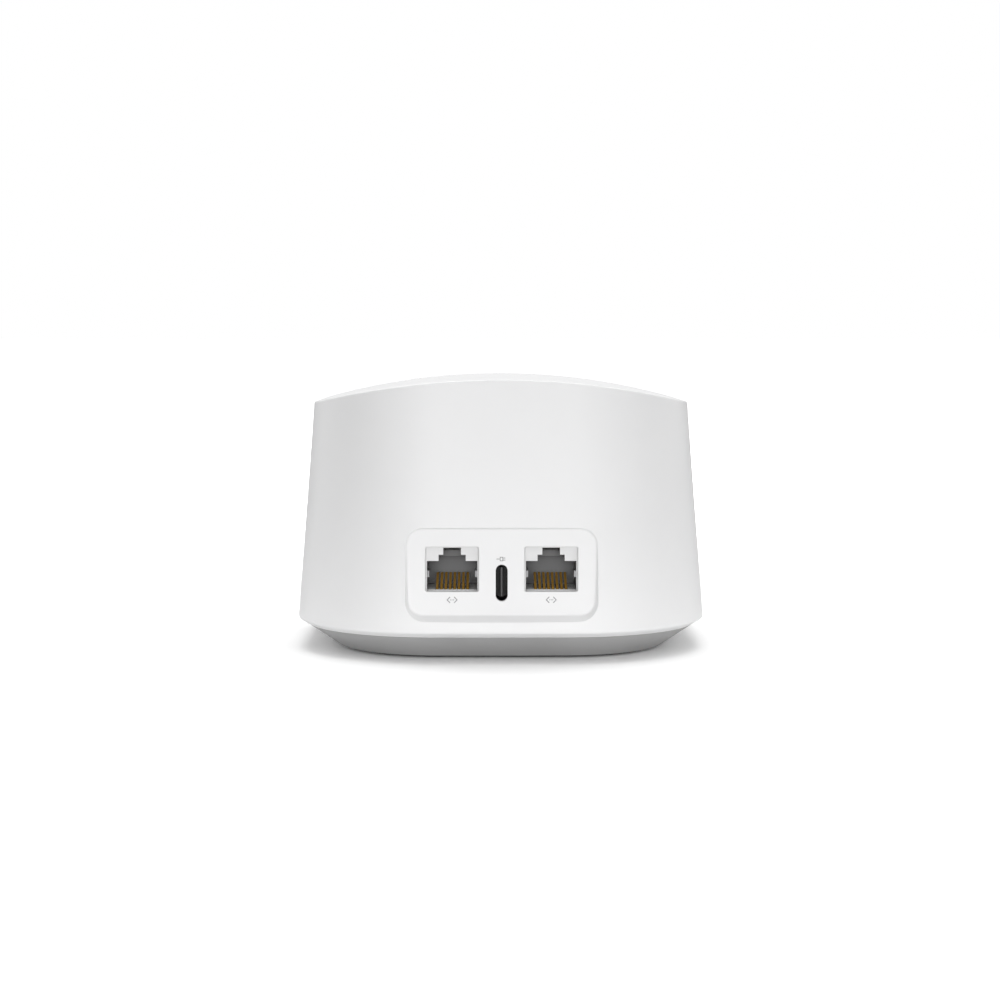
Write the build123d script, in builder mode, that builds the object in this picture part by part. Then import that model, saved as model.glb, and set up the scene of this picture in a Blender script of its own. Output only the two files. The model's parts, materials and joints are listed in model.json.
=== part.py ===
from build123d import *
import math
import os

os.makedirs("parts", exist_ok=True)

# ------------------------------------------------------------------ driving dimensions, mm
# The node stands on z = 0. Ports face +Y, the status light faces -Y.
BODY_W = 99.4
BODY_D = 97.0
BODY_H = 65.5
RIM_OVERSHOOT = 0.03
SIDE_BULGE = 1.2
CORNER_R = 34.5
RIM_Z = 7.1
DRAFT = 4.5
DRAFT_RATE = math.tan(math.radians(DRAFT))
ARCH_R = 178.0
TOP_EDGE_R = 0.5
RIM_EDGE_R = 0.6
WALL = 2.4

# underside
SHELL_FOOT_Z = 5.85
SHELL_FOOT_INSET = 2.15
BASE_RIM_Z = 5.79
BASE_RIM_INSET = 2.22
BASE_BOTTOM_Z = 0.5
BASE_BOTTOM_INSET = 10.0
BASE_FLOOR = 1.9
TONGUE_INSET = 3.8
TONGUE_T = 1.2
TONGUE_TOP_Z = 9.2
FOOT_INSET = 11.6
FOOT_WIDTH = 9.0
FOOT_RECESS = 0.6

# port panel, a flat face cut upright into the drafted wall
PANEL_Y = 45.7
PANEL_BOTTOM_Z = 10.93
PANEL_TOP_Z = 31.0
PANEL_TOP_W = 44.2
PANEL_BOTTOM_W = 43.2
PANEL_FLARE = 0.48
PANEL_CORNER_R = (3.6, 4.6)
PANEL_T = 1.2
PORT_BACK_Y = PANEL_Y - PANEL_T

# sockets
JACK_X = 11.48
JACK_CUT_W = 12.4
JACK_CUT_Z = (16.5, 26.95)
JACK_FACE_Y = PORT_BACK_Y - 0.35
JACK_W = 15.8
JACK_TOP_Z = 27.8
JACK_DEPTH = 20.6
PLUG_W = 11.7
PLUG_Z = (16.75, 23.5)
LATCH_W = 6.3
LATCH_TOP_Z = 24.95
KEY_W = 4.1
KEY_TOP_Z = 26.6
PLUG_DEPTH = 14.0
SHIELD_T = 0.3
CONTACT_PITCH = 1.016
USB_Z = 18.53
USB_SLOT_L = 8.5
USB_SLOT_W = 2.75

# inside stack
PCB_TOP_Z = 13.9
PCB_T = 1.6
PCB_BOTTOM_Z = PCB_TOP_Z - PCB_T
PCB_INSET = 6.2
POSTS = [(28, 25), (-28, 25), (28, -25), (-28, -25)]
POST_R = 3.3
POST_JOIN_Z = 5.0
BOARD_SCREWS = [(37, 6), (-37, 6), (13, -37), (-13, -37)]
SINK_SCREWS = [(20, -28), (-20, -28), (20, 3), (-20, 3)]
SINK_Z = 17.2
SINK_PLATE = 3.0
FIN_TOP_Z = 44.0
FIN_COUNT = 11
CARRIER_Z = 47.0
CARRIER_LEGS = [(27.5, -12), (-27.5, -12), (27.5, 8), (-27.5, 8)]
BUTTON_XY = (0, 14)
LIGHT_Z = 15.6
LEAD_R = 0.57
LEAD_Z = PCB_TOP_Z + 1.2


def body_outline(inset):
    """Plan shape of the housing, its sides slightly bowed, moved inwards by inset."""
    half_w = BODY_W / 2 + RIM_OVERSHOOT - inset
    half_d = BODY_D / 2 + RIM_OVERSHOOT - inset
    px = half_w - SIDE_BULGE
    py = half_d - SIDE_BULGE
    with BuildSketch(mode=Mode.PRIVATE) as plan:
        with BuildLine():
            ThreePointArc((-px, py), (0, half_d), (px, py))
            ThreePointArc((px, py), (half_w, 0), (px, -py))
            ThreePointArc((px, -py), (0, -half_d), (-px, -py))
            ThreePointArc((-px, -py), (-half_w, 0), (-px, py))
        make_face()
        fillet(plan.vertices(), CORNER_R - inset)
    return plan.sketch


def arch_face(radius, crown_z):
    """Cross-section under the barrel-arched top, from the floor up to the arch."""
    reach = 60
    side_z = crown_z - (radius - math.sqrt(radius ** 2 - reach ** 2))
    with BuildSketch(mode=Mode.PRIVATE) as face:
        with BuildLine():
            ThreePointArc((-reach, side_z), (0, crown_z), (reach, side_z))
            Polyline((reach, side_z), (reach, -5), (-reach, -5), (-reach, side_z))
        make_face()
    return face.sketch


def save(piece, name):
    piece.part.label = name
    export_step(piece.part, "parts/" + name + ".step")


RIM_PLAN = body_outline(0)
ABOVE_ROOF_PLAN = body_outline(BODY_H * DRAFT_RATE)
CAVITY_ABOVE_PLAN = body_outline(WALL + BODY_H * DRAFT_RATE)
FOOT_OF_SHELL_PLAN = body_outline(SHELL_FOOT_INSET)
CAVITY_LOW_PLAN = body_outline(3.4)
CAVITY_PLAN = body_outline(WALL)
BASE_RIM_PLAN = body_outline(BASE_RIM_INSET)
BASE_BOTTOM_PLAN = body_outline(BASE_BOTTOM_INSET)
BASE_FLOOR_PLAN = body_outline(BASE_BOTTOM_INSET + 1.6)
BASE_MOUTH_PLAN = body_outline(TONGUE_INSET + TONGUE_T)
TONGUE_OUTER_PLAN = body_outline(TONGUE_INSET)
FOOT_OUTER_PLAN = body_outline(FOOT_INSET)
FOOT_INNER_PLAN = body_outline(FOOT_INSET + FOOT_WIDTH)
FOOT_POCKET_PLAN = body_outline(FOOT_INSET - 0.1)
FOOT_ISLAND_PLAN = body_outline(FOOT_INSET + FOOT_WIDTH + 0.1)
PCB_PLAN = body_outline(PCB_INSET)
OUTER_ARCH = arch_face(ARCH_R, BODY_H)
INNER_ARCH = arch_face(ARCH_R - WALL, BODY_H - WALL)

# ------------------------------------------------------------------ outer shell
with BuildPart() as shell_body:
    with BuildSketch(Plane.XY.offset(RIM_Z)):
        add(RIM_PLAN)
    with BuildSketch(Plane.XY.offset(RIM_Z + BODY_H)):
        add(ABOVE_ROOF_PLAN)
    loft(ruled=True)
    with BuildSketch(Plane.XZ):
        add(OUTER_ARCH)
    extrude(amount=60, both=True, mode=Mode.INTERSECT)
    top_face = shell_body.faces().sort_by(Axis.Z)[-1]
    fillet(top_face.edges(), TOP_EDGE_R)
    with BuildSketch(Plane.XY.offset(RIM_Z)):
        add(RIM_PLAN)
    with BuildSketch(Plane.XY.offset(SHELL_FOOT_Z)):
        add(FOOT_OF_SHELL_PLAN)
    loft(ruled=True)
    rim_edges = shell_body.edges().filter_by_position(Axis.Z, RIM_Z - 0.01, RIM_Z + 0.01)
    fillet(rim_edges, RIM_EDGE_R)

with BuildPart() as shell_cavity:
    with BuildSketch(Plane.XY.offset(RIM_Z)):
        add(CAVITY_PLAN)
    with BuildSketch(Plane.XY.offset(RIM_Z + BODY_H)):
        add(CAVITY_ABOVE_PLAN)
    loft(ruled=True)
    with BuildSketch(Plane.XZ):
        add(INNER_ARCH)
    extrude(amount=60, both=True, mode=Mode.INTERSECT)

with BuildPart() as panel_pocket:
    for depth in (0.0, 3.4):
        spread = PANEL_FLARE * depth
        low_z = PANEL_BOTTOM_Z - spread
        top_z = PANEL_TOP_Z + spread
        low_x = PANEL_BOTTOM_W / 2 + spread
        top_x = PANEL_TOP_W / 2 + spread
        with BuildSketch(Plane.XZ.offset(-PANEL_Y - depth)) as mouth:
            with BuildLine():
                Polyline((-low_x, low_z), (low_x, low_z), (top_x, top_z), (-top_x, top_z), close=True)
            make_face()
            corners = mouth.vertices().group_by(Axis.Z)
            fillet(corners[0], PANEL_CORNER_R[0] + 0.5 * depth)
            fillet(corners[-1], PANEL_CORNER_R[1] + 0.5 * depth)
    loft(ruled=True)
    fillet(panel_pocket.faces().sort_by(Axis.Y)[0].edges(), 0.45)

with BuildPart() as outer_shell:
    add(shell_body.part)
    add(shell_cavity.part, mode=Mode.SUBTRACT)
    # thicker skirt at the foot, where the base tongue slides in
    with BuildSketch(Plane.XY.offset(SHELL_FOOT_Z)):
        add(CAVITY_LOW_PLAN)
    extrude(amount=RIM_Z - SHELL_FOOT_Z, mode=Mode.SUBTRACT)
    with BuildSketch(Plane.XY.offset(RIM_Z)):
        add(CAVITY_PLAN)
        add(CAVITY_LOW_PLAN, mode=Mode.SUBTRACT)
    extrude(amount=2.9)
    # flat back wall behind the port panel
    with BuildSketch(Plane.XY.offset(RIM_Z + 2.9)):
        with Locations((0, PORT_BACK_Y + 2)):
            Rectangle(50, 4)
    extrude(amount=23.5)
    # screw posts hanging from the roof, each webbed to the side wall
    with BuildSketch(Plane.XY.offset(POST_JOIN_Z)):
        with Locations(*POSTS):
            Circle(POST_R)
    extrude(amount=BODY_H - POST_JOIN_Z - 5)
    with BuildSketch(Plane.XY.offset(18)):
        for post_x, post_y in POSTS:
            side = math.copysign(1, post_x)
            with Locations((post_x + side * 9.0, post_y)):
                Rectangle(13.0, 1.6)
    extrude(amount=BODY_H - 24)
    # trim everything back to the housing's own outside
    add(shell_body.part, mode=Mode.INTERSECT)
    with BuildSketch(Plane.XY.offset(POST_JOIN_Z)):
        with Locations(*POSTS):
            Circle(POST_R)
    extrude(amount=4)
    add(panel_pocket.part, mode=Mode.SUBTRACT)
    # pilot holes for the base screws
    with BuildSketch(Plane.XY.offset(POST_JOIN_Z)):
        with Locations(*POSTS):
            Circle(1.25)
    extrude(amount=11, mode=Mode.SUBTRACT)
    # socket cut-outs
    jack_cut_mid = sum(JACK_CUT_Z) / 2
    jack_cut_h = JACK_CUT_Z[1] - JACK_CUT_Z[0]
    with BuildSketch(Plane.XZ.offset(-PANEL_Y - 3)):
        with Locations((JACK_X, jack_cut_mid), (-JACK_X, jack_cut_mid)):
            RectangleRounded(JACK_CUT_W, jack_cut_h, 0.45)
        with Locations((0, USB_Z)):
            SlotOverall(USB_SLOT_L, USB_SLOT_W, rotation=90)
    extrude(amount=8, mode=Mode.SUBTRACT)
    # hole for the status light in the front wall
    with BuildSketch(Plane.XZ.offset(BODY_D / 2 + 1)):
        with Locations((0, LIGHT_Z)):
            Circle(1.3)
    extrude(amount=-6, mode=Mode.SUBTRACT)
save(outer_shell, "outer_shell")

# ------------------------------------------------------------------ base cover
with BuildPart() as base_cover:
    with BuildSketch(Plane.XY.offset(BASE_BOTTOM_Z)):
        add(BASE_BOTTOM_PLAN)
    with BuildSketch(Plane.XY.offset(BASE_RIM_Z)):
        add(BASE_RIM_PLAN)
    loft(ruled=True)
    with BuildSketch(Plane.XY.offset(BASE_RIM_Z)):
        add(TONGUE_OUTER_PLAN)
    extrude(amount=TONGUE_TOP_Z - BASE_RIM_Z)
    # hollow, its sides parallel to the slanted underside
    with BuildSketch(Plane.XY.offset(BASE_BOTTOM_Z + BASE_FLOOR)):
        add(BASE_FLOOR_PLAN)
    with BuildSketch(Plane.XY.offset(BASE_RIM_Z + 1.0)):
        add(BASE_MOUTH_PLAN)
    loft(ruled=True, mode=Mode.SUBTRACT)
    with BuildSketch(Plane.XY.offset(BASE_RIM_Z + 1.0)):
        add(BASE_MOUTH_PLAN)
    extrude(amount=4, mode=Mode.SUBTRACT)
    # the tongue is left off behind the thick port wall
    with BuildSketch(Plane.XY.offset(BASE_RIM_Z + 0.2)):
        with Locations((0, BODY_D / 2 - 2)):
            Rectangle(51, 12)
    extrude(amount=5, mode=Mode.SUBTRACT)
    # bosses under the shell posts and under the board
    with BuildSketch(Plane.XY.offset(BASE_BOTTOM_Z + 1.0)):
        with Locations(*POSTS):
            Circle(POST_R + 0.6)
    extrude(amount=POST_JOIN_Z - BASE_BOTTOM_Z - 1.0)
    with BuildSketch(Plane.XY.offset(BASE_BOTTOM_Z + 1.2)):
        with Locations(*BOARD_SCREWS):
            Circle(2.8)
    extrude(amount=PCB_BOTTOM_Z - BASE_BOTTOM_Z - 1.2)
    with BuildSketch(Plane.XY.offset(PCB_BOTTOM_Z - 7)):
        with Locations(*BOARD_SCREWS):
            Circle(0.95)
    extrude(amount=7, mode=Mode.SUBTRACT)
    # guide tube of the reset button
    with BuildSketch(Plane.XY.offset(BASE_BOTTOM_Z + 1.0)):
        with Locations(BUTTON_XY):
            Circle(4.2)
            Circle(2.9, mode=Mode.SUBTRACT)
    extrude(amount=4.6)
    # groove for the rubber ring, pocket for the label, screw counterbores
    with BuildSketch(Plane.XY.offset(BASE_BOTTOM_Z)):
        add(FOOT_POCKET_PLAN)
        add(FOOT_ISLAND_PLAN, mode=Mode.SUBTRACT)
    extrude(amount=FOOT_RECESS, mode=Mode.SUBTRACT)
    with BuildSketch(Plane.XY.offset(BASE_BOTTOM_Z)):
        with Locations((0, -9)):
            RectangleRounded(38, 22, 2)
    extrude(amount=0.25, mode=Mode.SUBTRACT)
    with BuildSketch(Plane.XY):
        with Locations(*POSTS):
            Circle(1.6)
        with Locations(BUTTON_XY):
            Circle(1.6)
    extrude(amount=POST_JOIN_Z + 0.5, mode=Mode.SUBTRACT)
    with BuildSketch(Plane.XY):
        with Locations(*POSTS):
            Circle(2.7)
    extrude(amount=BASE_BOTTOM_Z + FOOT_RECESS + 2.0, mode=Mode.SUBTRACT)
    # air slots either side of the reset button
    with BuildSketch(Plane.XY):
        with Locations((-14, 14), (14, 14)):
            with GridLocations(3.2, 1, 4, 1):
                SlotOverall(9, 1.4, rotation=90)
    extrude(amount=5, mode=Mode.SUBTRACT)
save(base_cover, "base_cover")

# ------------------------------------------------------------------ rubber ring foot and label
with BuildPart() as rubber_foot:
    with BuildSketch():
        add(FOOT_OUTER_PLAN)
        add(FOOT_INNER_PLAN, mode=Mode.SUBTRACT)
    extrude(amount=BASE_BOTTOM_Z + FOOT_RECESS)
    fillet(rubber_foot.faces().sort_by(Axis.Z)[0].edges(), 0.25)
save(rubber_foot, "rubber_foot")

with BuildPart() as rating_label:
    with BuildSketch(Plane.XY.offset(BASE_BOTTOM_Z + 0.05)):
        with Locations((0, -9)):
            RectangleRounded(37.6, 21.6, 1.8)
    extrude(amount=0.2)
save(rating_label, "rating_label")

# ------------------------------------------------------------------ base screws
BASE_HEAD_TOP_Z = BASE_BOTTOM_Z + FOOT_RECESS + 2.0
with BuildPart() as base_screws:
    with BuildSketch(Plane.XY.offset(BASE_HEAD_TOP_Z)):
        with Locations(*POSTS):
            Circle(2.5)
    extrude(amount=-1.7)
    with BuildSketch(Plane.XY.offset(BASE_HEAD_TOP_Z)):
        with Locations(*POSTS):
            Circle(1.45)
    extrude(amount=POST_JOIN_Z - BASE_HEAD_TOP_Z)
    with BuildSketch(Plane.XY.offset(POST_JOIN_Z)):
        with Locations(*POSTS):
            Circle(1.2)
    extrude(amount=8)
    with BuildSketch(Plane.XY.offset(BASE_HEAD_TOP_Z - 1.7)):
        with Locations(*POSTS):
            Rectangle(2.6, 0.6)
            Rectangle(0.6, 2.6)
    extrude(amount=1.0, mode=Mode.SUBTRACT)
save(base_screws, "base_screws")

# ------------------------------------------------------------------ main board
BOARD_HEAD_H = 1.7
with BuildPart() as main_board:
    with BuildSketch(Plane.XY.offset(PCB_BOTTOM_Z)):
        add(PCB_PLAN)
        with Locations(*POSTS):
            Circle(POST_R + 0.6, mode=Mode.SUBTRACT)
        with Locations(*BOARD_SCREWS):
            Circle(1.25, mode=Mode.SUBTRACT)
        with Locations(*SINK_SCREWS):
            Circle(1.5, mode=Mode.SUBTRACT)
    extrude(amount=PCB_T)
save(main_board, "main_board")

with BuildPart() as board_screws:
    with BuildSketch(Plane.XY.offset(PCB_TOP_Z)):
        with Locations(*BOARD_SCREWS):
            Circle(2.4)
    extrude(amount=BOARD_HEAD_H)
    fillet(board_screws.faces().filter_by(Axis.Z).sort_by(Axis.Z)[-4:].edges(), 0.5)
    with BuildSketch(Plane.XY.offset(PCB_TOP_Z)):
        with Locations(*BOARD_SCREWS):
            Circle(0.9)
    extrude(amount=-7.5)
    with BuildSketch(Plane.XY.offset(PCB_TOP_Z + BOARD_HEAD_H)):
        with Locations(*BOARD_SCREWS):
            Rectangle(2.4, 0.5)
            Rectangle(0.5, 2.4)
    extrude(amount=-0.9, mode=Mode.SUBTRACT)
save(board_screws, "board_screws")

# ------------------------------------------------------------------ network sockets
TAB_Z = 20.4
RIB_Z = 23.45
SLOT_Y = 31.0
contact_line = [(31.6, 14.15), (31.6, 15.3), (42.2, 15.3), (42.45, 16.3), (34.0, 19.65)]
for side, jack_x in (("left", JACK_X), ("right", -JACK_X)):
    contact_xs = [jack_x + CONTACT_PITCH * (n - 3.5) for n in range(8)]
    with BuildPart() as jack_insert:
        with BuildSketch(Plane.XZ.offset(-JACK_FACE_Y)):
            with Locations((jack_x, (PCB_TOP_Z + JACK_TOP_Z) / 2)):
                Rectangle(JACK_W, JACK_TOP_Z - PCB_TOP_Z)
        extrude(amount=JACK_DEPTH)
        with BuildSketch(Plane.XZ.offset(-JACK_FACE_Y)):
            with Locations((jack_x, sum(PLUG_Z) / 2)):
                Rectangle(PLUG_W, PLUG_Z[1] - PLUG_Z[0])
            with Locations((jack_x, (PLUG_Z[1] + LATCH_TOP_Z) / 2 - 0.5)):
                Rectangle(LATCH_W, LATCH_TOP_Z - PLUG_Z[1] + 1)
            with Locations((jack_x, (LATCH_TOP_Z + KEY_TOP_Z) / 2 - 0.5)):
                Rectangle(KEY_W, KEY_TOP_Z - LATCH_TOP_Z + 1)
        extrude(amount=PLUG_DEPTH, mode=Mode.SUBTRACT)
        # stop rib standing out from the back wall below the latch way
        with BuildSketch(Plane.XZ.offset(-JACK_FACE_Y + PLUG_DEPTH)):
            with Locations((jack_x, (RIB_Z + LATCH_TOP_Z) / 2)):
                Rectangle(LATCH_W, LATCH_TOP_Z - RIB_Z)
        extrude(amount=-2.0)
        # grooves that the contact wires lie in, and the way down to the board
        with BuildSketch(Plane.XY.offset(14.9)):
            for contact_x in contact_xs:
                with Locations((contact_x, (SLOT_Y + 43.0) / 2)):
                    Rectangle(0.72, 43.0 - SLOT_Y)
        extrude(amount=PLUG_Z[0] - 14.9 + 0.1, mode=Mode.SUBTRACT)
        with BuildSketch(Plane.XY.offset(PCB_TOP_Z)):
            for contact_x in contact_xs:
                with Locations((contact_x, SLOT_Y + 0.6)):
                    Rectangle(0.72, 1.2)
        extrude(amount=1.2, mode=Mode.SUBTRACT)
        # side windows for the earth springs
        with BuildSketch(Plane.XZ.offset(-42.0)):
            with Locations((jack_x, TAB_Z)):
                Rectangle(JACK_W + 2, 2.0)
        extrude(amount=-1.7, mode=Mode.SUBTRACT)
        # lead-in bevel on the floor of the mouth
        mouth_edge = jack_insert.edges().filter_by(Axis.X).filter_by_position(
            Axis.Z, PLUG_Z[0] - 0.01, PLUG_Z[0] + 0.01
        ).filter_by_position(Axis.Y, JACK_FACE_Y - 0.01, JACK_FACE_Y + 0.01)
        chamfer(mouth_edge, 0.8)
    save(jack_insert, "rj45_" + side + "_insert")

    with BuildPart() as jack_contacts:
        with BuildSketch(*[Plane.YZ.offset(x) for x in contact_xs]):
            with BuildLine():
                Polyline(*contact_line)
            trace(line_width=0.3)
        extrude(amount=0.27, both=True)
    save(jack_contacts, "rj45_" + side + "_contacts")

    shield_x = JACK_W / 2 + SHIELD_T
    with BuildPart() as jack_shield:
        with BuildSketch(Plane.XZ.offset(-JACK_FACE_Y)):
            with Locations((jack_x, (PCB_TOP_Z + JACK_TOP_Z + SHIELD_T) / 2)):
                Rectangle(2 * shield_x, JACK_TOP_Z + SHIELD_T - PCB_TOP_Z)
        extrude(amount=JACK_DEPTH + SHIELD_T)
        with BuildSketch(Plane.XZ.offset(-JACK_FACE_Y)):
            with Locations((jack_x, (PCB_TOP_Z + JACK_TOP_Z) / 2)):
                Rectangle(JACK_W, JACK_TOP_Z - PCB_TOP_Z)
        extrude(amount=JACK_DEPTH, mode=Mode.SUBTRACT)
        # earth springs, through the windows and back along the cavity's sides
        for hand in (-1, 1):
            with Locations((jack_x + hand * (5.4 + 8.0) / 2, 42.9, TAB_Z)):
                Box(2.6, 0.9, 1.5)
            with Locations((jack_x + hand * 5.45, 40.4, TAB_Z)):
                Box(0.2, 5.9, 1.5)
    save(jack_shield, "rj45_" + side + "_shield")

# ------------------------------------------------------------------ network transformers
with BuildPart() as magnetics:
    with BuildSketch(Plane.XY.offset(PCB_TOP_Z + 0.3)):
        with Locations((JACK_X, 16), (-JACK_X, 16)):
            RectangleRounded(15.6, 7.2, 0.5)
    extrude(amount=5.4)
    with BuildSketch(Plane.XY.offset(PCB_TOP_Z)):
        with Locations((JACK_X, 16), (-JACK_X, 16)):
            with GridLocations(1.27, 8.6, 12, 2):
                Rectangle(0.5, 1.5)
    extrude(amount=0.5)
save(magnetics, "network_transformers")

# ------------------------------------------------------------------ power socket
USB_FACE_Y = JACK_FACE_Y
USB_DEPTH = 7.6
with BuildPart() as usb_shell:
    with BuildSketch(Plane.XZ.offset(-USB_FACE_Y)):
        with Locations((0, USB_Z)):
            SlotOverall(9.0, 3.2, rotation=90)
            SlotOverall(8.4, 2.6, rotation=90, mode=Mode.SUBTRACT)
    extrude(amount=USB_DEPTH)
    with Locations((0, 42.3, USB_Z - 4.55), (0, 38.2, USB_Z - 4.55)):
        Box(1.6, 1.0, 0.16)
    # spring fingers pressed in from the long sides
    for hand in (-1, 1):
        for finger_z, finger_l in ((2.9, 0.9), (0.9, 1.9), (-2.4, 1.2)):
            with Locations((hand * 1.2, USB_FACE_Y - 1.6, USB_Z + finger_z)):
                Box(0.24, 1.6, finger_l)
save(usb_shell, "usb_c_shell")

with BuildPart() as usb_insulator:
    with BuildSketch(Plane.XZ.offset(-USB_FACE_Y + USB_DEPTH)):
        with Locations((0, (PCB_TOP_Z + USB_Z + 4.6) / 2)):
            Rectangle(3.6, USB_Z + 4.6 - PCB_TOP_Z)
    extrude(amount=2.4)
    with BuildSketch(Plane.XZ.offset(-USB_FACE_Y + USB_DEPTH)):
        with Locations((0, USB_Z)):
            SlotOverall(8.3, 2.5, rotation=90)
    extrude(amount=-1.4)
    with BuildSketch(Plane.XZ.offset(-USB_FACE_Y + USB_DEPTH)):
        with Locations((0, USB_Z)):
            Rectangle(0.7, 6.7)
    extrude(amount=-USB_DEPTH + 0.9)
    tongue_tip = usb_insulator.faces().sort_by(Axis.Y)[-1]
    chamfer(tongue_tip.edges().filter_by(Axis.Z), 0.2)
save(usb_insulator, "usb_c_insulator")

with BuildPart() as usb_contacts:
    for hand in (-1, 1):
        for n in range(12):
            with Locations((hand * 0.37, USB_FACE_Y - 4.4, USB_Z + 0.5 * (n - 5.5))):
                Box(0.04, 3.4, 0.25)
save(usb_contacts, "usb_c_contacts")

# ------------------------------------------------------------------ status light
with BuildPart() as status_led:
    with Locations((0, -41.0, PCB_TOP_Z + 1.1)):
        Box(3.0, 1.4, 2.2)
save(status_led, "status_led")

with BuildPart() as light_pipe:
    with BuildSketch(Plane.XZ.offset(BODY_D / 2 - 0.76)):
        with Locations((0, LIGHT_Z)):
            Circle(1.25)
    extrude(amount=-5.8)
    with BuildSketch(Plane.XZ.offset(45.2)):
        with Locations((0, LIGHT_Z)):
            Circle(2.3)
    extrude(amount=-1.1)
save(light_pipe, "light_pipe")

# ------------------------------------------------------------------ reset button and its switch
BUTTON_GAP = 0.02
PLUNGER_Z = 7.9
with BuildPart() as reset_button:
    with BuildSketch(Plane.XY.offset(BASE_BOTTOM_Z + 0.35)):
        with Locations(BUTTON_XY):
            Circle(1.45)
    extrude(amount=PLUNGER_Z - BUTTON_GAP - BASE_BOTTOM_Z - 0.35)
    with BuildSketch(Plane.XY.offset(BASE_BOTTOM_Z + BASE_FLOOR + 0.05)):
        with Locations(BUTTON_XY):
            Circle(2.75)
    extrude(amount=0.9)
    fillet(reset_button.faces().sort_by(Axis.Z)[0].edges(), 0.3)
save(reset_button, "reset_button")

with BuildPart() as switch_body:
    with BuildSketch(Plane.XY.offset(PCB_BOTTOM_Z)):
        with Locations(BUTTON_XY):
            Rectangle(6.0, 6.0)
    extrude(amount=-3.5)
    with BuildSketch(Plane.XY.offset(PCB_BOTTOM_Z - 3.5)):
        with Locations(BUTTON_XY):
            Circle(1.75)
    extrude(amount=1.9, mode=Mode.SUBTRACT)
    with BuildSketch(Plane.XY.offset(PCB_BOTTOM_Z)):
        with Locations((0, 14)):
            with GridLocations(7.4, 4.5, 2, 2):
                Rectangle(1.6, 0.7)
    extrude(amount=-0.4)
save(switch_body, "reset_switch_body")

with BuildPart() as switch_plunger:
    with BuildSketch(Plane.XY.offset(PLUNGER_Z)):
        with Locations(BUTTON_XY):
            Circle(1.65)
    extrude(amount=2.2)
save(switch_plunger, "reset_switch_plunger")

# ------------------------------------------------------------------ chips
with BuildPart() as processor:
    with BuildSketch(Plane.XY.offset(PCB_TOP_Z)):
        with Locations((0, -8)):
            Rectangle(14, 14)
    extrude(amount=0.6)
    with BuildSketch(Plane.XY.offset(PCB_TOP_Z + 0.6)):
        with Locations((0, -8)):
            RectangleRounded(12.4, 12.4, 0.6)
    extrude(amount=0.7, taper=20)
save(processor, "processor")

with BuildPart() as memory_chip:
    with BuildSketch(Plane.XY.offset(PCB_TOP_Z)):
        with Locations((0, -23)):
            RectangleRounded(13, 8, 0.3)
    extrude(amount=1.0)
save(memory_chip, "memory_chip")

with BuildPart() as flash_chip:
    with BuildSketch(Plane.XY.offset(PCB_TOP_Z + 0.1)):
        with Locations((2, 3.2)):
            Rectangle(6, 5)
    extrude(amount=0.9)
    with BuildSketch(Plane.XY.offset(PCB_TOP_Z)):
        with Locations((2, 3.2)):
            with GridLocations(7.0, 1.27, 2, 4):
                Rectangle(1.4, 0.42)
    extrude(amount=0.3)
save(flash_chip, "flash_chip")

CANS = [(-14.5, -12.5), (14.5, -12.5)]
with BuildPart() as radio_chips:
    with BuildSketch(Plane.XY.offset(PCB_TOP_Z)):
        for can_x, can_y in CANS:
            with Locations((can_x, can_y + 4)):
                Rectangle(8, 8)
            with Locations((can_x - 2.4, can_y - 5.5), (can_x + 2.4, can_y - 5.5)):
                Rectangle(3, 4)
    extrude(amount=0.85)
save(radio_chips, "radio_chips")

with BuildPart() as shield_frames:
    with BuildSketch(Plane.XY.offset(PCB_TOP_Z)):
        with Locations(*CANS):
            RectangleRounded(12.6, 22.6, 0.8)
            RectangleRounded(12.2, 22.2, 0.6, mode=Mode.SUBTRACT)
    extrude(amount=1.9)
save(shield_frames, "shield_frames")

with BuildPart() as shield_lids:
    with BuildSketch(Plane.XY.offset(PCB_TOP_Z + 0.5)):
        with Locations(*CANS):
            RectangleRounded(13.1, 23.1, 1.0)
            RectangleRounded(12.7, 22.7, 0.8, mode=Mode.SUBTRACT)
    extrude(amount=1.4)
    with BuildSketch(Plane.XY.offset(PCB_TOP_Z + 1.9)):
        with Locations(*CANS):
            RectangleRounded(13.1, 23.1, 1.0)
    extrude(amount=0.2)
save(shield_lids, "shield_lids")

with BuildPart() as mesh_chip:
    with BuildSketch(Plane.XY.offset(PCB_TOP_Z)):
        with Locations((39.2, -16)):
            Rectangle(4, 4)
    extrude(amount=0.9)
save(mesh_chip, "smart_home_radio")

with BuildPart() as chip_antenna:
    with BuildSketch(Plane.XY.offset(PCB_TOP_Z)):
        with Locations((40, -9)):
            Rectangle(2, 7)
    extrude(amount=1.1)
save(chip_antenna, "chip_antenna")

with BuildPart() as crystals:
    with BuildSketch(Plane.XY.offset(PCB_TOP_Z)):
        with Locations((-5, 3.4), (30.5, -17)):
            RectangleRounded(3.2, 2.5, 0.3)
    extrude(amount=0.7)
save(crystals, "crystals")

with BuildPart() as inductors:
    with BuildSketch(Plane.XY.offset(PCB_TOP_Z)):
        with Locations((34.5, 16.5), (34.5, -3)):
            RectangleRounded(6.6, 6.6, 1.2)
    extrude(amount=3.0)
    top_faces = inductors.faces().filter_by(Axis.Z).sort_by(Axis.Z)[-2:]
    chamfer(top_faces.edges(), 0.4)
save(inductors, "inductors")

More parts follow.
